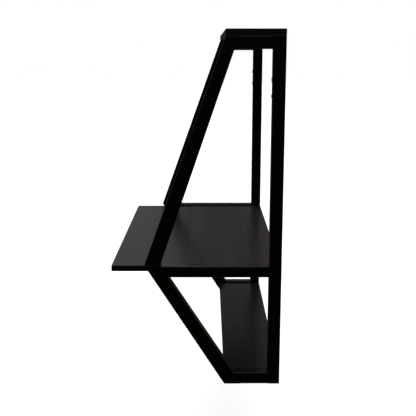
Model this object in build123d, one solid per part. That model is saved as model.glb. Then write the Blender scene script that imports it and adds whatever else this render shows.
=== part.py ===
from build123d import *
import os

# Overall sizes in mm: X runs along the wall, Y = 0 is the wall, the front is at -Y
desk_width = 1000  # across the outer faces of the side frames
desk_depth = 550  # wall to the front edge of the desk board
frame_height = 1123  # foot of the posts to their top ends
base_depth = 183  # wall to the front of a frame at its foot
top_depth = 183  # wall to the front of a frame at its top
elbow_depth = 440  # wall to the front of a frame where leg and strut meet
elbow_rise = 406.5  # foot of the posts to the joint of leg and strut
desk_rail_rise = 404.5  # foot of the posts to the top of the desk rails

# Frame members
frame_thickness = 36  # of every member, along X
stock_width = 40  # depth of the posts, height of the top and bottom rails
desk_rail_height = 37
leg_top_width = 41  # front to back along a level cut
leg_foot_width = 51  # the same at the foot of the leg and the top of the strut
strut_foot_width = 55
frame_edge_radius = 3
frame_end_radius = 0.8

# Boards
board_thickness = 20
board_edge_radius = 1.5
board_recess = 7  # top of the desk board and shelf below the tops of their rails

# Wooden dowels
dowel_diameter = 8
frame_dowel_length = 36  # half in each member
frame_dowel_spread = 18  # between the two dowels of a joint
board_dowel_length = 30
board_dowel_bite = 12  # part of a board dowel that sits in the rail
dowel_clearance = 0.1  # around a dowel
dowel_end_room = 1  # for glue, at each end

# Cam fittings that draw a board against its rails
cam_diameter = 15
cam_height = 14.5
cam_setback = 24  # end of the board to the cam's axis
cam_slot_length = 9
cam_slot_width = 1.6
cam_slot_depth = 1.5
cam_clearance = 0.1
cam_head_room = 0.4  # around the bolt's head
cam_top_room = 1  # over the cam in its pocket
bolt_thread_diameter = 6
bolt_thread_length = 11
bolt_shank_diameter = 5
bolt_head_diameter = 7
bolt_head_length = 3
bolt_end_room = 1  # past the bolt's end in the rail
desk_cam_spread = 240  # between the two cams at each end of the desk board
desk_dowel_spread = 120
shelf_cam_spread = 46

# Screws that hold the top board
screw_diameter = 5
screw_head_diameter = 9.5
screw_head_height = 3
screw_recess_diameter = 11
screw_recess_depth = 7  # head seat above the underside of the top rail
screw_bite = 13  # length in the top board
screw_spread = 50
screw_drive_length = 5
screw_drive_width = 1.2
screw_drive_depth = 1.8
screw_clearance = 0.25

# Wall fixing holes in the posts, and the caps that close them
wall_hole_diameter = 6.5
wall_pair_inset = 156  # end of the post to the middle of a pair of holes
wall_pair_spread = 50
head_pocket_diameter = 10.5
head_pocket_depth = 9
cap_diameter = 13
cap_height = 2.4
cap_edge_radius = 1.6
cap_stem_length = 5
cap_clearance = 0.1

# Places that follow from the sizes: the origin is at the middle of the wall fixing holes
foot = -frame_height / 2
top = frame_height / 2
elbow = foot + elbow_rise
desk_rail_top = foot + desk_rail_rise
desk_rail_base = desk_rail_top - desk_rail_height
top_rail_base = top - stock_width
frame_x = (desk_width - frame_thickness) / 2
board_length = desk_width - 2 * frame_thickness
desk_board_base = desk_rail_top - board_recess - board_thickness
shelf_base = foot + stock_width - board_recess - board_thickness

# Corners of the slanted members, as (y, z)
strut_foot_front = (-base_depth, foot)
strut_foot_back = (-base_depth + strut_foot_width, foot)
elbow_front = (-elbow_depth, elbow)
elbow_back = (-elbow_depth + leg_foot_width, elbow)
leg_top_front = (-top_depth, top)
leg_top_back = (-top_depth + leg_top_width, top)


def edge_at(z, lower, upper):
    """Y of the straight edge between two (y, z) corners at height z."""
    return lower[0] + (upper[0] - lower[0]) * (z - lower[1]) / (upper[1] - lower[1])


def strut_back(z):
    """Y of the strut's back edge at height z."""
    return edge_at(z, strut_foot_back, elbow_back)


def leg_back(z):
    """Y of the leg's back edge at height z."""
    return edge_at(z, elbow_back, leg_top_back)


def pair(middle, spread):
    """Two places a spread apart about a middle."""
    return [middle - spread / 2, middle + spread / 2]


def rail_middle(z, back_edge):
    """Y of the middle of a rail at height z, between a slanted member's back edge and the post."""
    return (back_edge(z) - stock_width) / 2


desk_axis = desk_board_base + board_thickness / 2
shelf_axis = shelf_base + board_thickness / 2
desk_cams = pair(rail_middle(desk_axis, strut_back), desk_cam_spread)
desk_dowel_rows = pair(rail_middle(desk_axis, strut_back), desk_dowel_spread)
shelf_cams = pair(rail_middle(shelf_axis, strut_back), shelf_cam_spread)
shelf_dowel_rows = [rail_middle(shelf_axis, strut_back)]
screw_rows = pair(rail_middle(top - stock_width / 2, leg_back), screw_spread)
wall_holes = pair(foot + wall_pair_inset, wall_pair_spread) + pair(top - wall_pair_inset, wall_pair_spread)


def rod(diameter, start, direction, length):
    """Round rod from a point along a direction."""
    seat = Plane(origin=start, z_dir=direction)
    return seat * Cylinder(diameter / 2, length, align=(Align.CENTER, Align.CENTER, Align.MIN))


def cross_slot(length, width, depth, x, y, z):
    """Cross for a driver, cut upwards from height z."""
    align = (Align.CENTER, Align.CENTER, Align.MIN)
    return Pos(x, y, z) * (Box(length, width, depth, align=align) + Box(width, length, depth, align=align))


def middle_of(start, end, x):
    """Middle of a side between two (y, z) corners, at x."""
    return Vector(x, (start[0] + end[0]) / 2, (start[1] + end[1]) / 2)


def member(corners):
    """Frame member from four (y, z) corners: rounded along its first and third sides, eased at its ends."""
    outline = Plane.YZ * make_face(Polyline(*corners, close=True))
    solid = extrude(outline, amount=frame_thickness / 2, both=True)
    long_sides = [corners[0:2], corners[2:4]]
    ends = [corners[1:3], (corners[3], corners[0])]
    long_edges = []
    for start, end in long_sides:
        for x in pair(0, frame_thickness):
            long_edges.append(solid.edges().sort_by_distance(middle_of(start, end, x))[0])
    solid = fillet(long_edges, frame_edge_radius)
    end_edges = []
    for start, end in ends:
        end_edges += solid.faces().sort_by_distance(middle_of(start, end, 0))[0].edges()
    return fillet(end_edges, frame_end_radius)


def rail(base, height, back_edge):
    """Level rail between a slanted member's back edge and the post."""
    rail_top = base + height
    return member([
        (back_edge(base), base),
        (-stock_width, base),
        (-stock_width, rail_top),
        (back_edge(rail_top), rail_top),
    ])


def frame_joints():
    """Joints of a frame: middle of each dowel, with its direction."""
    along_y = Vector(0, 1, 0)
    along_z = Vector(0, 0, 1)
    joints = []
    for axis in (foot + stock_width / 2, desk_rail_top - desk_rail_height / 2):
        for z in pair(axis, frame_dowel_spread):
            joints.append((Vector(0, strut_back(z), z), along_y))
            joints.append((Vector(0, -stock_width, z), along_y))
    top_rail_axis = top - stock_width / 2
    elbow_middle = (elbow_front[0] + elbow_back[0]) / 2
    for x in pair(0, frame_dowel_spread):
        joints.append((Vector(x, leg_back(top_rail_axis), top_rail_axis), along_y))
        joints.append((Vector(x, -stock_width, top_rail_axis), along_y))
        joints.append((Vector(x, elbow_middle, elbow), along_z))
    return joints


def frame_dowels():
    """Dowels of one frame, as a list of rods."""
    half = frame_dowel_length / 2
    return [rod(dowel_diameter, middle - way * half, way, 2 * half) for middle, way in frame_joints()]


def frame_dowel_holes():
    """Holes for the dowels of one frame, with room for glue at the ends."""
    half = frame_dowel_length / 2 + dowel_end_room
    bore = dowel_diameter + 2 * dowel_clearance
    return [rod(bore, middle - way * half, way, 2 * half) for middle, way in frame_joints()]


def wall_hole_cuts():
    """Wall fixing holes of one post: through hole, and a pocket for the head at the front."""
    back_way = Vector(0, 1, 0)
    cuts = []
    for z in wall_holes:
        front = Vector(0, -stock_width, z)
        cuts.append(rod(wall_hole_diameter, front, back_way, stock_width))
        cuts.append(rod(head_pocket_diameter, front, back_way, head_pocket_depth))
    return cuts


def board_end(side):
    """X of the board's end face at one side, which is the frame's inner face."""
    return side * board_length / 2


def outward(side):
    """Direction from the board into the frame at one side."""
    return Vector(side, 0, 0)


def cam_bolt(side, y, z):
    """Bolt that screws into the rail and ends in a head at the cam."""
    way = outward(side)
    face = Vector(board_end(side), y, z)
    head_end = face - way * (cam_setback + bolt_head_length / 2)
    bolt = rod(bolt_thread_diameter, face, way, bolt_thread_length)
    bolt += rod(bolt_shank_diameter, head_end, way, cam_setback + bolt_head_length / 2)
    bolt += rod(bolt_head_diameter, head_end, way, bolt_head_length)
    return bolt


def cam_nut(side, y, z):
    """Cam disc in the underside of a board, hollowed for the bolt's head, with a driver cross below."""
    x = board_end(side) - side * cam_setback
    base = z - board_thickness / 2
    disc = rod(cam_diameter - 2 * cam_clearance, Vector(x, y, base), Vector(0, 0, 1), cam_height)
    hollow_start = Vector(x - side * (bolt_head_length / 2 + cam_head_room), y, z)
    hollow = rod(bolt_head_diameter + 2 * cam_head_room, hollow_start, outward(side), cam_diameter)
    return disc - hollow - cross_slot(cam_slot_length, cam_slot_width, cam_slot_depth, x, y, base)


def board_dowel(side, y, z, clearance=0, end_room=0):
    """Dowel across the joint of a board and its rail, or the hole for it."""
    length = board_dowel_length + 2 * end_room
    start = Vector(board_end(side) + side * (board_dowel_bite + end_room), y, z)
    return rod(dowel_diameter + 2 * clearance, start, outward(-side), length)


def board_cuts(side, cams, dowels, z):
    """Cuts in one end of a board: cam pockets, bolt holes and dowel holes."""
    cuts = []
    bore = bolt_head_diameter + 2 * cam_head_room
    x = board_end(side) - side * cam_setback
    for y in cams:
        base = Vector(x, y, z - board_thickness / 2)
        cuts.append(rod(cam_diameter, base, Vector(0, 0, 1), cam_height + cam_top_room))
        cuts.append(rod(bore, Vector(x, y, z), outward(side), cam_setback))
    for y in dowels:
        cuts.append(board_dowel(side, y, z, dowel_clearance, dowel_end_room))
    return cuts


def rail_cuts(side, cams, dowels, z):
    """Cuts in the inner face of a rail: threads of the cam bolts, and dowel holes."""
    bore = bolt_thread_diameter + 2 * cam_clearance
    cuts = [
        rod(bore, Vector(board_end(side), y, z), outward(side), bolt_thread_length + bolt_end_room)
        for y in cams
    ]
    return cuts + [board_dowel(side, y, z, dowel_clearance, dowel_end_room) for y in dowels]


def top_screw(side, y):
    """Screw up through a top rail into the top board."""
    x = side * frame_x
    seat = top_rail_base + screw_recess_depth
    up = Vector(0, 0, 1)
    head_base = seat - screw_head_height
    screw = rod(screw_head_diameter, Vector(x, y, head_base), up, screw_head_height)
    screw += rod(screw_diameter, Vector(x, y, seat), up, top + screw_bite - seat)
    return screw - cross_slot(screw_drive_length, screw_drive_width, screw_drive_depth, x, y, head_base)


def top_screw_cuts(side, y):
    """Hole for a top board screw, with the recess for its head."""
    x = side * frame_x
    base = Vector(x, y, top_rail_base)
    up = Vector(0, 0, 1)
    hole = rod(screw_diameter + 2 * screw_clearance, base, up, stock_width + screw_bite + screw_clearance)
    return [hole, rod(screw_recess_diameter, base, up, screw_recess_depth)]


def wall_hole_cap(side, z):
    """Domed cap on the front of a post, with a stem in the head pocket."""
    face = Vector(side * frame_x, -stock_width, z)
    front_way = Vector(0, -1, 0)
    head = rod(cap_diameter, face, front_way, cap_height)
    rim = head.edges().sort_by(Axis.Y)[0]
    stem = rod(head_pocket_diameter - 2 * cap_clearance, face, -front_way, cap_stem_length)
    return fillet(rim, cap_edge_radius) + stem


def board(length, depth, base):
    """Board against the wall with all edges eased."""
    align = (Align.CENTER, Align.MAX, Align.MIN)
    blank = Box(length, depth, board_thickness, align=align)
    return Pos(0, 0, base) * fillet(blank.edges(), board_edge_radius)


def cut(solid, cuts):
    """Solid with each of the cuts taken out."""
    for tool in cuts:
        solid = solid - tool
    return solid


def side_frame(side):
    """Six members of one side frame, by name."""
    members = {
        "rear_post": member([(0, foot), (0, top), (-stock_width, top), (-stock_width, foot)]),
        "lower_strut": member([strut_foot_front, elbow_front, elbow_back, strut_foot_back]),
        "upper_leg": member([elbow_front, leg_top_front, leg_top_back, elbow_back]),
        "bottom_rail": rail(foot, stock_width, strut_back),
        "desk_rail": rail(desk_rail_base, desk_rail_height, strut_back),
        "top_rail": rail(top_rail_base, stock_width, leg_back),
    }
    place = Pos(side * frame_x, 0, 0)
    joint_holes = frame_dowel_holes()
    members = {name: place * cut(solid, joint_holes) for name, solid in members.items()}
    members["rear_post"] = cut(members["rear_post"], [place * tool for tool in wall_hole_cuts()])
    members["desk_rail"] = cut(members["desk_rail"], rail_cuts(side, desk_cams, desk_dowel_rows, desk_axis))
    members["bottom_rail"] = cut(
        members["bottom_rail"], rail_cuts(side, shelf_cams, shelf_dowel_rows, shelf_axis)
    )
    for y in screw_rows:
        members["top_rail"] = cut(members["top_rail"], top_screw_cuts(side, y))
    return members


def boards():
    """Top board, desk board and bottom shelf, by name."""
    top_board = board(desk_width, top_depth, top)
    desk_board = board(board_length, desk_depth, desk_board_base)
    bottom_shelf = board(board_length, base_depth, shelf_base)
    for side in (-1, 1):
        for y in screw_rows:
            top_board = cut(top_board, top_screw_cuts(side, y))
        desk_board = cut(desk_board, board_cuts(side, desk_cams, desk_dowel_rows, desk_axis))
        bottom_shelf = cut(bottom_shelf, board_cuts(side, shelf_cams, shelf_dowel_rows, shelf_axis))
    return {"top_board": top_board, "desk_board": desk_board, "bottom_shelf": bottom_shelf}


def fittings():
    """Groups of like fittings, by name, each a list of solids."""
    sides = (-1, 1)
    return {
        "desk_cam_bolts": [cam_bolt(side, y, desk_axis) for side in sides for y in desk_cams],
        "desk_cam_nuts": [cam_nut(side, y, desk_axis) for side in sides for y in desk_cams],
        "desk_dowels": [board_dowel(side, y, desk_axis) for side in sides for y in desk_dowel_rows],
        "shelf_cam_bolts": [cam_bolt(side, y, shelf_axis) for side in sides for y in shelf_cams],
        "shelf_cam_nuts": [cam_nut(side, y, shelf_axis) for side in sides for y in shelf_cams],
        "shelf_dowels": [board_dowel(side, y, shelf_axis) for side in sides for y in shelf_dowel_rows],
        "top_board_screws": [top_screw(side, y) for side in sides for y in screw_rows],
        "wall_hole_caps": [wall_hole_cap(side, z) for side in sides for z in wall_holes],
    }


def all_nodes():
    """Every node of the desk, by name."""
    nodes = boards()
    for side, word in ((-1, "left"), (1, "right")):
        for name, solid in side_frame(side).items():
            nodes[f"{name}_{word}"] = solid
        place = Pos(side * frame_x, 0, 0)
        nodes[f"frame_dowels_{word}"] = Compound(children=[place * dowel for dowel in frame_dowels()])
    for name, solids in fittings().items():
        nodes[name] = Compound(children=solids)
    return nodes


os.makedirs("parts", exist_ok=True)
for node_name, node_shape in all_nodes().items():
    export_step(node_shape, f"parts/{node_name}.step")
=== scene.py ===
import logging
import math
from dataclasses import dataclass, field, replace
from enum import Enum
from functools import reduce
from typing import Any

import bpy
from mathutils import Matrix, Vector


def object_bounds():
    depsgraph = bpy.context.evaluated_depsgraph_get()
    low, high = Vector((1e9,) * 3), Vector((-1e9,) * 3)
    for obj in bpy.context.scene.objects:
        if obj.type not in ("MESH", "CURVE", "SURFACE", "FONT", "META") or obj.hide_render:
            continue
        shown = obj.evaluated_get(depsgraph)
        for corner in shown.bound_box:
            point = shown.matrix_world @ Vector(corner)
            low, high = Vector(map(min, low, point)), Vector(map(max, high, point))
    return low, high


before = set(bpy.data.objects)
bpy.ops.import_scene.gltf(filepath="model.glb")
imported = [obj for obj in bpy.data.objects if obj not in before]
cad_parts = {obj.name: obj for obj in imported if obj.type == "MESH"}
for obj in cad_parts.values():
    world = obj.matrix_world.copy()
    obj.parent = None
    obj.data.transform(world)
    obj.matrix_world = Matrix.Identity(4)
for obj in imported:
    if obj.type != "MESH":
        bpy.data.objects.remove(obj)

# The CAD box, kept before anything is added
CAD_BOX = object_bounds()

LOG = logging.getLogger("wall_desk")
SIDES = ("left", "right")

Colour = tuple[float, float, float]
Direction = tuple[float, float, float]
Place = tuple[float, float, float]
Span = tuple[float, float]
Material = bpy.types.Material
Node = bpy.types.Node
Socket = bpy.types.NodeSocket

# Tints of the light
WHITE: Colour = (1.0, 1.0, 1.0)
SOFT: Colour = (1.0, 0.945, 0.905)
CLEAR: Colour = (1.0, 0.975, 1.12)
WARM: Colour = (1.0, 0.71, 0.42)
COOL: Colour = (0.95, 0.98, 1.08)

# Directions seen from the desk
RIGHT: Direction = (1.0, 0.0, 0.0)
BACK: Direction = (0.0, 1.0, 0.0)
UP: Direction = (0.0, 0.0, 1.0)
BACK_LEANING: Direction = (0.0, 1.0, -0.216)

# Whole range of a share
FULL: Span = (0.0, 1.0)
QUARTER_TURN = math.radians(90.0)


class GrainRun(Enum):
    """Direction in which the grain of a wooden piece runs, as (x, y, z)."""

    ALONG_WALL = (1.0, 0.0, 0.0)
    FRONT_TO_BACK = (0.0, 1.0, 0.0)
    UPRIGHT = (0.0, 0.0, 1.0)
    # The slanted members, by how far they reach back and up in metres
    ALONG_LEG = (0.0, 0.252, 0.7165)
    ALONG_STRUT = (0.0, -0.259, 0.4065)


class Easing(Enum):
    """Way in which a value goes from one end of a range to the other."""

    SMOOTH = "SMOOTHSTEP"
    EVEN = "LINEAR"


class MixKind(Enum):
    """What a mix node mixes, with the numbers of its two inputs and of its output."""

    VECTOR = (4, 5, 1)
    RGBA = (6, 7, 2)


@dataclass(frozen=True)
class Pattern:
    """Noise pattern: features per metre, number of octaves and share of each octave in the next."""

    per_m: float
    octaves: float
    rough: float


class NodeGraph:
    """Node graph of a material or of the world, with short ways to add and join nodes."""

    def __init__(self, tree: bpy.types.NodeTree, output: str) -> None:
        """Start with an empty graph and an output.

        Args:
            tree: Node tree of the material or the world.
            output: Blender's name of the output node's type, without its ShaderNode prefix.
        """
        self.tree = tree
        self.tree.nodes.clear()
        self.output = self.add(output)

    def add(self, kind: str, settings: dict[str, Any] | None = None, **values: Any) -> Node:
        """Add a node.

        Args:
            kind: Blender's name of the node type, without its ShaderNode prefix.
            settings: Properties of the node itself.
            values: Values or sockets for the node's inputs, by input name with _ for spaces.

        Returns:
            The new node.
        """
        node = self.tree.nodes.new(f"ShaderNode{kind}")
        for key, value in (settings or {}).items():
            setattr(node, key, value)
        for key, value in values.items():
            self.feed(node.inputs[key.replace("_", " ")], value)
        return node

    def feed(self, end: Socket, value: Any) -> None:
        """Set an input to a value, or link it to the socket that gives the value.

        Args:
            end: Input socket.
            value: Value or output socket.
        """
        if isinstance(value, Socket):
            self.tree.links.new(value, end)
        else:
            end.default_value = value

    def reckon(self, kind: str, operation: str, *values: Any) -> Node:
        """Add a node that works out a number or a vector.

        Args:
            kind: Blender's name of the node type, Math or VectorMath.
            operation: Blender's name of the operation.
            values: Values or sockets, in the order of the node's inputs.

        Returns:
            The new node.
        """
        node = self.add(kind, {"operation": operation})
        for end, value in zip(node.inputs, values):
            self.feed(end, value)
        return node

    def math(self, operation: str, first: Any, second: Any) -> Socket:
        """Work out a number from two numbers or sockets."""
        return self.reckon("Math", operation, first, second).outputs[0]

    def along(self, direction: Socket, axis: Any) -> Socket:
        """Work out how far a direction goes along an axis."""
        return self.reckon("VectorMath", "DOT_PRODUCT", direction, axis).outputs["Value"]

    def added(self, first: Socket, second: Socket) -> Socket:
        """Add two colours."""
        return self.reckon("VectorMath", "ADD", first, second).outputs[0]

    def noise(self, place: Socket, pattern: Pattern) -> Socket:
        """Add a noise texture.

        Args:
            place: Socket with the coordinates.
            pattern: Fineness of the noise.

        Returns:
            Socket with the noise from 0 to 1.
        """
        node = self.add("TexNoise", Vector=place, Scale=pattern.per_m, Detail=pattern.octaves,
                        Roughness=pattern.rough)
        return node.outputs["Fac"]

    def ranged(self, value: Socket, cut: Span, span: Span = FULL, easing: Easing = Easing.SMOOTH) -> Socket:
        """Spread a value from one range to another, clamped.

        Args:
            value: Socket with the value.
            cut: Values that become the ends of the new range.
            span: Ends of the new range.
            easing: Way from end to end.

        Returns:
            Socket with the spread value.
        """
        node = self.add("MapRange", {"interpolation_type": easing.value}, Value=value, From_Min=cut[0],
                        From_Max=cut[1], To_Min=span[0], To_Max=span[1])
        return node.outputs["Result"]

    def mixed(self, kind: MixKind, share: Socket, first: Any, second: Any) -> Socket:
        """Mix two vectors or two colours.

        Args:
            kind: What is mixed.
            share: Socket with the share of the second.
            first: Value or socket at share 0.
            second: Value or socket at share 1.

        Returns:
            Socket with the mixture.
        """
        node = self.add("Mix", {"data_type": kind.name}, Factor=share)
        first_input, second_input, output = kind.value
        self.feed(node.inputs[first_input], first)
        self.feed(node.inputs[second_input], second)
        return node.outputs[output]

    def blended(self, share: Socket, first: Colour | Socket, second: Colour) -> Socket:
        """Blend a colour or a colour socket into another colour.

        Args:
            share: Socket with the share of the second colour.
            first: Colour or colour socket at share 0.
            second: Colour at share 1.

        Returns:
            Socket with the blended colour.
        """
        start = first if isinstance(first, Socket) else (*first, 1.0)
        return self.mixed(MixKind.RGBA, share, start, (*second, 1.0))

    def bumped(self, height: Socket, depth: float, strength: float) -> Socket:
        """Turn a height into a bump.

        Args:
            height: Socket with the height from 0 to 1.
            depth: Depth in metres.
            strength: Share of the bump that shows.

        Returns:
            Socket with the bumped normal.
        """
        return self.add("Bump", Height=height, Distance=depth, Strength=strength).outputs["Normal"]

    def background_rays(self) -> Socket:
        """Pick out the rays that show the background: from the camera, off gloss and through glass.

        Returns:
            Socket with 1 for these rays and 0 for all others.
        """
        path = self.add("LightPath").outputs
        bent = self.math("MAXIMUM", path["Is Glossy Ray"], path["Is Transmission Ray"])
        return self.math("MAXIMUM", path["Is Camera Ray"], bent)

    def surface(self, shader: Node) -> None:
        """Send a shader to the output."""
        self.feed(self.output.inputs["Surface"], shader.outputs[0])


class MaterialGraph(NodeGraph):
    """Node graph of a new material."""

    def __init__(self, name: str) -> None:
        """Start a material.

        Args:
            name: Name of the material.
        """
        self.material = bpy.data.materials.new(name)
        self.material.use_nodes = True
        super().__init__(self.material.node_tree, "OutputMaterial")

    def finished(self, **values: Any) -> Material:
        """Finish the material with a principled shader.

        Args:
            values: Values or sockets for the shader's inputs, by input name with _ for spaces.

        Returns:
            The material.
        """
        self.surface(self.add("BsdfPrincipled", **values))
        return self.material


@dataclass(frozen=True)
class StainedWood:
    """Stained and lacquered wood: streaks, figure and pores along the grain, and a lighter brown on edges
    that is partly thinner stain and partly a painted highlight for the edge glints.
    """

    name: str
    run: GrainRun
    dark: Colour
    light: Colour
    pore: Colour
    roughness: Span
    specular: float
    end_run: GrainRun | None = None
    end_facing: float = 0.5
    stretch: float = 55.0
    streaks: Pattern = Pattern(110.0, 6.0, 0.62)
    bands: Pattern = Pattern(26.0, 2.0, 0.5)
    pores: Pattern = Pattern(700.0, 2.0, 0.5)
    band_share: float = 0.45
    tone_cut: Span = (0.36, 0.64)
    pore_cut: Span = (0.56, 0.68)
    sheen_cut: Span = (0.25, 0.75)
    figure_per_m: float = 16.0
    figure_bend: float = 9.0
    figure_octaves: float = 3.0
    figure_fineness: float = 1.4
    figure_cut: Span = (0.2, 1.0)
    figure_span: Span = (0.0, 0.45)
    pore_depth: float = 0.0001
    relief: float = 0.05
    # Lighter brown on the edges: partly thinned stain, partly a painted highlight for the brown glints on
    # the rounded edges
    wear_and_painted_glint: Colour = (0.03, 0.017, 0.008)
    wear_and_painted_glint_width: float = 0.0015
    wear_and_painted_glint_share: float = 0.45
    wear_and_painted_glint_cut: Span = (0.99, 0.86)
    wear_and_painted_glint_samples: int = 4
    broken_cut: Span = (0.3, 0.6)
    broken_span: Span = (0.25, 1.0)

    def material(self) -> Material:
        """Build the material.

        Returns:
            The material, with its grain along the run.
        """
        graph = MaterialGraph(self.name)
        grain = self.grain(graph)
        streaks = graph.noise(grain, self.streaks)
        pores = graph.ranged(graph.noise(grain, self.pores), self.pore_cut)
        stained = graph.blended(pores, self.tone(graph, grain, streaks), self.pore)
        height = graph.math("SUBTRACT", streaks, pores)
        # The base colour carries the painted edge highlight together with the thinned stain
        return graph.finished(
            Base_Color=graph.blended(self.edges(graph, streaks), stained, self.wear_and_painted_glint),
            Roughness=graph.ranged(streaks, self.sheen_cut, self.roughness),
            Normal=graph.bumped(height, self.pore_depth, self.relief),
            Specular_IOR_Level=self.specular,
        )

    def laid(self, graph: MaterialGraph, place: Socket, run: GrainRun) -> Socket:
        """Lay the grain in one direction.

        Args:
            graph: Graph of the material.
            place: Socket with the place on the piece.
            run: Direction of the grain.

        Returns:
            Socket with the coordinates of the grain.
        """
        turn = Vector(run.value).to_track_quat("X", "Z").to_euler()
        node = graph.add("Mapping", {"vector_type": "TEXTURE"}, Vector=place, Rotation=turn,
                         Scale=(self.stretch, 1.0, 1.0))
        return node.outputs["Vector"]

    def grain(self, graph: MaterialGraph) -> Socket:
        """Lay the grain along the run, and along the bands that close the ends.

        Args:
            graph: Graph of the material.

        Returns:
            Socket with the coordinates of the grain.
        """
        piece = graph.add("TexCoord").outputs
        along = self.laid(graph, piece["Object"], self.run)
        if self.end_run is None:
            return along
        facing = graph.along(piece["Normal"], self.run.value)
        end = graph.math("GREATER_THAN", graph.math("MULTIPLY", facing, facing), self.end_facing)
        return graph.mixed(MixKind.VECTOR, end, along, self.laid(graph, piece["Object"], self.end_run))

    def tone(self, graph: MaterialGraph, grain: Socket, streaks: Socket) -> Socket:
        """Colour the wood with its streaks, wider bands and growth figure.

        Args:
            graph: Graph of the material.
            grain: Socket with the coordinates of the grain.
            streaks: Socket with the streaks.

        Returns:
            Socket with the colour.
        """
        bands = graph.math("MULTIPLY", graph.noise(grain, self.bands), self.band_share)
        both = graph.math("ADD", graph.math("MULTIPLY", streaks, 1.0 - self.band_share), bands)
        streaked = graph.blended(graph.ranged(both, self.tone_cut), self.dark, self.light)
        figure = graph.add("TexWave", {"wave_type": "RINGS", "rings_direction": "X"}, Vector=grain,
                           Scale=self.figure_per_m, Distortion=self.figure_bend,
                           Detail=self.figure_octaves, Detail_Scale=self.figure_fineness)
        ringed = graph.ranged(figure.outputs["Fac"], self.figure_cut, self.figure_span)
        return graph.blended(ringed, streaked, self.dark)

    def edges(self, graph: MaterialGraph, streaks: Socket) -> Socket:
        """Find the edges, where sanding has thinned the stain and where a lighter brown is also painted as
        a highlight for the edge glints.

        Args:
            graph: Graph of the material.
            streaks: Socket with the streaks, which break up the thin places.

        Returns:
            Socket with the share of thinned stain and painted edge highlight.
        """
        rounded = graph.add("Bevel", {"samples": self.wear_and_painted_glint_samples}, Radius=self.wear_and_painted_glint_width)
        flatness = graph.along(rounded.outputs["Normal"], graph.add("NewGeometry").outputs["Normal"])
        # Share of painted edge highlight and thinned stain on the rounded edges
        wear_and_painted_glint_edge = graph.ranged(flatness, self.wear_and_painted_glint_cut, (0.0, self.wear_and_painted_glint_share))
        return graph.math("MULTIPLY", wear_and_painted_glint_edge, graph.ranged(streaks, self.broken_cut, self.broken_span))


@dataclass(frozen=True)
class PlatedSteel:
    """Zinc-plated steel with a fine brushed grain and a faint cloudy tone."""

    name: str
    bright: Colour
    dull: Colour
    roughness: Span
    clouds: Pattern = Pattern(260.0, 4.0, 0.6)
    lines: Pattern = Pattern(900.0, 3.0, 0.6)
    line_squeeze: float = 22.0
    line_depth: float = 0.00005
    relief: float = 0.3
    sheen_cut: Span = (0.25, 0.75)

    def material(self) -> Material:
        """Build the material.

        Returns:
            The material.
        """
        graph = MaterialGraph(self.name)
        place = graph.add("TexCoord").outputs["Object"]
        brushed = graph.add("Mapping", Vector=place, Scale=(1.0, 1.0, self.line_squeeze))
        lines = graph.noise(brushed.outputs["Vector"], self.lines)
        return graph.finished(
            Base_Color=graph.blended(graph.noise(place, self.clouds), self.bright, self.dull),
            Roughness=graph.ranged(lines, self.sheen_cut, self.roughness),
            Normal=graph.bumped(lines, self.line_depth, self.relief),
            Metallic=1.0,
        )


@dataclass(frozen=True)
class MouldedPlastic:
    """Moulded plastic with a fine spark-eroded grain."""

    name: str
    dark: Colour
    light: Colour
    roughness: Span
    specular: float
    specks: Pattern = Pattern(2600.0, 3.0, 0.6)
    speck_depth: float = 0.00005
    relief: float = 0.3
    sheen_cut: Span = (0.3, 0.7)

    def material(self) -> Material:
        """Build the material.

        Returns:
            The material.
        """
        graph = MaterialGraph(self.name)
        specks = graph.noise(graph.add("TexCoord").outputs["Object"], self.specks)
        return graph.finished(
            Base_Color=graph.blended(specks, self.dark, self.light),
            Roughness=graph.ranged(specks, self.sheen_cut, self.roughness),
            Normal=graph.bumped(specks, self.speck_depth, self.relief),
            Specular_IOR_Level=self.specular,
        )


@dataclass
class Finishes:
    """All finishes of the desk, each made into a material once."""

    frames: StainedWood = StainedWood(
        name="frame_wood",
        run=GrainRun.UPRIGHT,
        dark=(0.0034, 0.0024, 0.0014),
        light=(0.0075, 0.0055, 0.0034),
        pore=(0.0018, 0.0012, 0.0008),
        roughness=(0.19, 0.27),
        specular=0.45,
    )
    boards: StainedWood = StainedWood(
        name="board_wood",
        run=GrainRun.ALONG_WALL,
        end_run=GrainRun.FRONT_TO_BACK,
        dark=(0.0056, 0.0043, 0.0038),
        light=(0.0142, 0.0114, 0.0104),
        pore=(0.0040, 0.0031, 0.0027),
        roughness=(0.265, 0.315),
        specular=0.45,
        stretch=140.0,
        relief=0.03,
    )
    dowels: StainedWood = StainedWood(
        name="dowel_wood",
        run=GrainRun.FRONT_TO_BACK,
        dark=(0.46, 0.29, 0.15),
        light=(0.6, 0.42, 0.25),
        pore=(0.3, 0.17, 0.08),
        roughness=(0.5, 0.65),
        specular=0.3,
        streaks=Pattern(260.0, 6.0, 0.62),
        wear_and_painted_glint_share=0.0,
    )
    metal: PlatedSteel = PlatedSteel(
        name="fitting_steel",
        bright=(0.62, 0.62, 0.6),
        dull=(0.48, 0.48, 0.47),
        roughness=(0.26, 0.42),
    )
    caps: MouldedPlastic = MouldedPlastic(
        name="cap_plastic",
        dark=(0.0035, 0.003, 0.0028),
        light=(0.008, 0.007, 0.0065),
        roughness=(0.38, 0.52),
        specular=0.2,
    )
    made: dict[str, Material] = field(default_factory=dict)

    def once(self, finish: StainedWood | PlatedSteel | MouldedPlastic) -> Material:
        """Make a finish into a material, or find the one that was made before.

        Args:
            finish: The finish.

        Returns:
            Its material.
        """
        if finish.name not in self.made:
            self.made[finish.name] = finish.material()
        return self.made[finish.name]

    def frame_wood(self, run: GrainRun) -> Material:
        """Find the finish of a frame member whose grain has this run."""
        return self.once(replace(self.frames, name=f"{self.frames.name}_{run.name.lower()}", run=run))


def dress(node: str, material: Material) -> None:
    """Give a CAD node its finish.

    Args:
        node: Name of the node.
        material: The finish.
    """
    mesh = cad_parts[node].data
    mesh.materials.clear()
    mesh.materials.append(material)
    LOG.info("dressed %s with %s", node, material.name)


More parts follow.
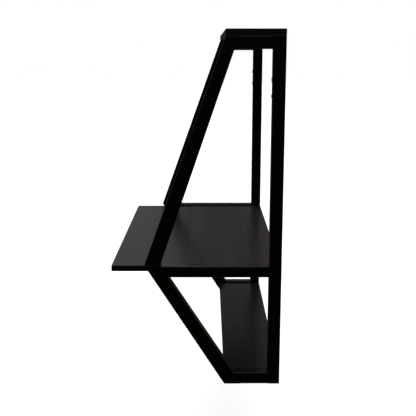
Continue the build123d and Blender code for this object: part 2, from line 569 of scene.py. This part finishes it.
@dataclass
class SideFrame:
    """One side frame: six dowelled members of stained wood."""

    side: str
    runs: dict[str, GrainRun] = field(default_factory=lambda: {
        "rear_post": GrainRun.UPRIGHT,
        "lower_strut": GrainRun.ALONG_STRUT,
        "upper_leg": GrainRun.ALONG_LEG,
        "bottom_rail": GrainRun.FRONT_TO_BACK,
        "desk_rail": GrainRun.FRONT_TO_BACK,
        "top_rail": GrainRun.FRONT_TO_BACK,
    })

    def dress(self, finishes: Finishes) -> None:
        """Finish the members and their dowels.

        Args:
            finishes: The desk's finishes.
        """
        for member, run in self.runs.items():
            dress(f"{member}_{self.side}", finishes.frame_wood(run))
        dress(f"frame_dowels_{self.side}", finishes.once(finishes.dowels))


@dataclass
class Boards:
    """Top board, desk board and bottom shelf, with the fittings that hold them."""

    panels: tuple[str, ...] = ("top_board", "desk_board", "bottom_shelf")
    dowels: tuple[str, ...] = ("desk_dowels", "shelf_dowels")
    metal: tuple[str, ...] = ("desk_cam_bolts", "desk_cam_nuts", "shelf_cam_bolts", "shelf_cam_nuts",
                              "top_board_screws")

    def dress(self, finishes: Finishes) -> None:
        """Finish the boards and their fittings.

        Args:
            finishes: The desk's finishes.
        """
        for panel in self.panels:
            dress(panel, finishes.once(finishes.boards))
        for group in self.dowels:
            dress(group, finishes.once(finishes.dowels))
        for group in self.metal:
            dress(group, finishes.once(finishes.metal))


@dataclass
class WallFixings:
    """Caps that close the wall fixing holes of the posts."""

    node: str = "wall_hole_caps"

    def dress(self, finishes: Finishes) -> None:
        """Finish the caps."""
        dress(self.node, finishes.once(finishes.caps))


@dataclass(frozen=True)
class Ramp:
    """Change of light with direction, over a part of an axis that goes from -1 to 1."""

    axis: Direction
    part: Span
    light: Span


@dataclass(frozen=True)
class LightPanel:
    """One soft part of the light on the screens, limited by its ramps."""

    level: float
    tint: Colour
    ramps: tuple[Ramp, ...]

    def light(self, graph: MaterialGraph, direction: Socket) -> Socket:
        """Add the panel's nodes.

        Args:
            graph: Graph of the screens' material.
            direction: Socket with the direction from the desk.

        Returns:
            Socket with the panel's light in that direction.
        """
        level: Any = self.level
        for ramp in self.ramps:
            share = graph.along(direction, ramp.axis)
            level = graph.math("MULTIPLY", level, graph.ranged(share, ramp.part, ramp.light, Easing.EVEN))
        return graph.add("VectorMath", {"operation": "SCALE"}, Vector=self.tint, Scale=level).outputs[0]


@dataclass(frozen=True)
class Lamp:
    """One wide, soft lamp that shines from its place towards the desk, and doesn't show in the gloss."""

    name: str
    place: Place
    strength: float
    spread: float = math.radians(60.0)

    def hang(self) -> None:
        """Hang the lamp."""
        light = bpy.data.lights.new(self.name, "SUN")
        light.energy = self.strength
        light.angle = self.spread
        holder = bpy.data.objects.new(self.name, light)
        holder.location = self.place
        holder.rotation_euler = (-Vector(self.place)).to_track_quat("-Z", "Y").to_euler()
        holder.visible_glossy = False
        bpy.context.scene.collection.objects.link(holder)
        LOG.info("hung %s", self.name)


@dataclass
class Studio:
    """Floor, background, screens, lamps and camera."""

    floor_drop: float = 0.35
    floor_size: float = 60.0
    floor_colour: Colour = (0.42, 0.42, 0.42)
    floor_shade: float = 0.99
    floor_specks: Pattern = Pattern(3.0, 2.0, 0.5)
    floor_glow: float = 0.78
    screen_distance: float = 40.0
    screen_depth: float = 0.985
    screen_segments: int = 96
    screen_rings: int = 64
    panels: tuple[LightPanel, ...] = (
        # Dim light all round, least on the right
        LightPanel(0.062, SOFT, (
            Ramp(UP, (0.04, 0.16), (0.1, 1.0)),
            Ramp(RIGHT, (-0.4, 0.6), (1.0, 0.15)),
            Ramp(BACK, (-0.01, 0.105), (0.87, 2.1)),
            Ramp(BACK, (0.2, 0.45), (1.0, 0.3)),
        )),
        # Band across the left
        LightPanel(0.1, CLEAR, (
            Ramp(UP, (0.28, 0.33), (0.0, 1.0)),
            Ramp(UP, (0.33, 0.37), (1.0, 0.0)),
            Ramp(RIGHT, (-0.5, -0.8), (0.0, 1.0)),
        )),
        # Brighter light on the left, towards the front
        LightPanel(0.262, CLEAR, (
            Ramp(RIGHT, (-0.75, -0.92), (0.0, 1.0)),
            Ramp(UP, (0.08, 0.2), (0.0, 0.9)),
            Ramp(UP, (0.2, 0.3), (0.9, 1.2)),
            Ramp(BACK_LEANING, (-0.13, -0.085), (1.0, 0.0)),
            Ramp(BACK_LEANING, (-0.2, -0.13), (0.72, 1.0)),
        )),
        # Warm light low on the left
        LightPanel(0.105, WARM, (
            Ramp(RIGHT, (-0.4, -0.8), (0.0, 1.0)),
            Ramp(UP, (-0.12, 0.09), (1.0, 0.0)),
        )),
        # Soft light high on the right
        LightPanel(0.12, SOFT, (
            Ramp(RIGHT, (0.1, 0.5), (0.0, 1.0)),
            Ramp(UP, (0.15, 0.3), (0.0, 1.0)),
        )),
        # Large light overhead
        LightPanel(1.1, COOL, (
            Ramp(UP, (0.62, 0.9), (0.0, 1.0)),
        )),
    )
    lamps: tuple[Lamp, ...] = (
        Lamp("top_light", (-0.5, -0.3, 3.0), 2.75),
        Lamp("near_light", (3.0, -0.5, 1.1), 0.4),
        Lamp("far_light", (-3.0, -0.3, 0.1), 2.3),
        Lamp("front_light", (-0.8, -3.0, 0.1), 2.3),
        Lamp("back_light", (-0.8, 3.0, 0.1), 2.3),
    )
    camera_place: Place = (2.6875, -0.23585, 0.51075)
    camera_pitch: float = math.radians(12.28)
    camera_lens: float = 61.74
    camera_sensor: float = 36.0

    def build(self) -> None:
        """Build the whole studio."""
        self.build_floor()
        self.build_world()
        self.build_screens()
        for lamp in self.lamps:
            lamp.hang()
        self.build_camera()
        bpy.context.scene.view_settings.view_transform = "Standard"

    def build_floor(self) -> None:
        """Lay a pale floor below the desk, which hangs clear of it."""
        bpy.ops.object.select_all(action="DESELECT")
        height = CAD_BOX[0].z - self.floor_drop
        bpy.ops.mesh.primitive_plane_add(size=self.floor_size, location=(0.0, 0.0, height))
        floor = bpy.context.active_object
        floor.name = "floor"
        graph = MaterialGraph("pale_floor")
        specks = graph.noise(graph.add("TexCoord").outputs["Object"], self.floor_specks)
        shade = tuple(self.floor_shade * part for part in self.floor_colour)
        matt = graph.add("BsdfDiffuse", Color=graph.blended(specks, self.floor_colour, shade))
        strength = graph.math("MULTIPLY", graph.background_rays(), self.floor_glow)
        glow = graph.add("Emission", Color=(*WHITE, 1.0), Strength=strength)
        both = graph.add("AddShader")
        graph.feed(both.inputs[0], matt.outputs[0])
        graph.feed(both.inputs[1], glow.outputs[0])
        graph.surface(both)
        floor.data.materials.append(graph.material)
        floor.visible_glossy = False
        floor.visible_diffuse = False
        LOG.info("laid the floor")

    def build_world(self) -> None:
        """Put a white background behind everything."""
        world = bpy.data.worlds.new("studio")
        world.use_nodes = True
        bpy.context.scene.world = world
        graph = NodeGraph(world.node_tree, "OutputWorld")
        graph.surface(graph.add("Background", Color=(*WHITE, 1.0), Strength=graph.background_rays()))
        LOG.info("lit the background")

    def build_screens(self) -> None:
        """Stand dim screens far round the desk for its gloss to show, open to the background below."""
        bpy.ops.object.select_all(action="DESELECT")
        bpy.ops.mesh.primitive_uv_sphere_add(segments=self.screen_segments, ring_count=self.screen_rings,
                                             radius=self.screen_distance)
        screens = bpy.context.active_object
        screens.name = "screens"
        rim = -self.screen_depth * self.screen_distance
        bpy.ops.object.mode_set(mode="EDIT")
        bpy.ops.mesh.select_all(action="SELECT")
        bpy.ops.mesh.bisect(plane_co=(0.0, 0.0, rim), plane_no=UP, clear_inner=True)
        bpy.ops.object.mode_set(mode="OBJECT")
        graph = MaterialGraph("screen_cloth")
        place = graph.add("TexCoord").outputs["Object"]
        direction = graph.reckon("VectorMath", "NORMALIZE", place).outputs[0]
        lights = [panel.light(graph, direction) for panel in self.panels]
        graph.surface(graph.add("Emission", Color=reduce(graph.added, lights), Strength=1.0))
        graph.material.cycles.emission_sampling = "NONE"
        screens.data.materials.append(graph.material)
        screens.visible_camera = False
        screens.visible_diffuse = False
        screens.visible_transmission = False
        screens.visible_shadow = False
        LOG.info("stood the screens")

    def build_camera(self) -> None:
        """Set the camera beside the desk, a little above it."""
        lens = bpy.data.cameras.new("camera")
        lens.lens = self.camera_lens
        lens.sensor_width = self.camera_sensor
        camera = bpy.data.objects.new("camera", lens)
        camera.location = self.camera_place
        camera.rotation_euler = (QUARTER_TURN - self.camera_pitch, 0.0, QUARTER_TURN)
        bpy.context.scene.collection.objects.link(camera)
        bpy.context.scene.camera = camera
        LOG.info("set the camera")


def main() -> None:
    """Dress the desk and build the studio around it."""
    logging.basicConfig(level=logging.INFO, format="%(name)s: %(message)s")
    finishes = Finishes()
    for side in SIDES:
        SideFrame(side).dress(finishes)
    Boards().dress(finishes)
    WallFixings().dress(finishes)
    Studio().build()


if __name__ == "__main__":
    main()
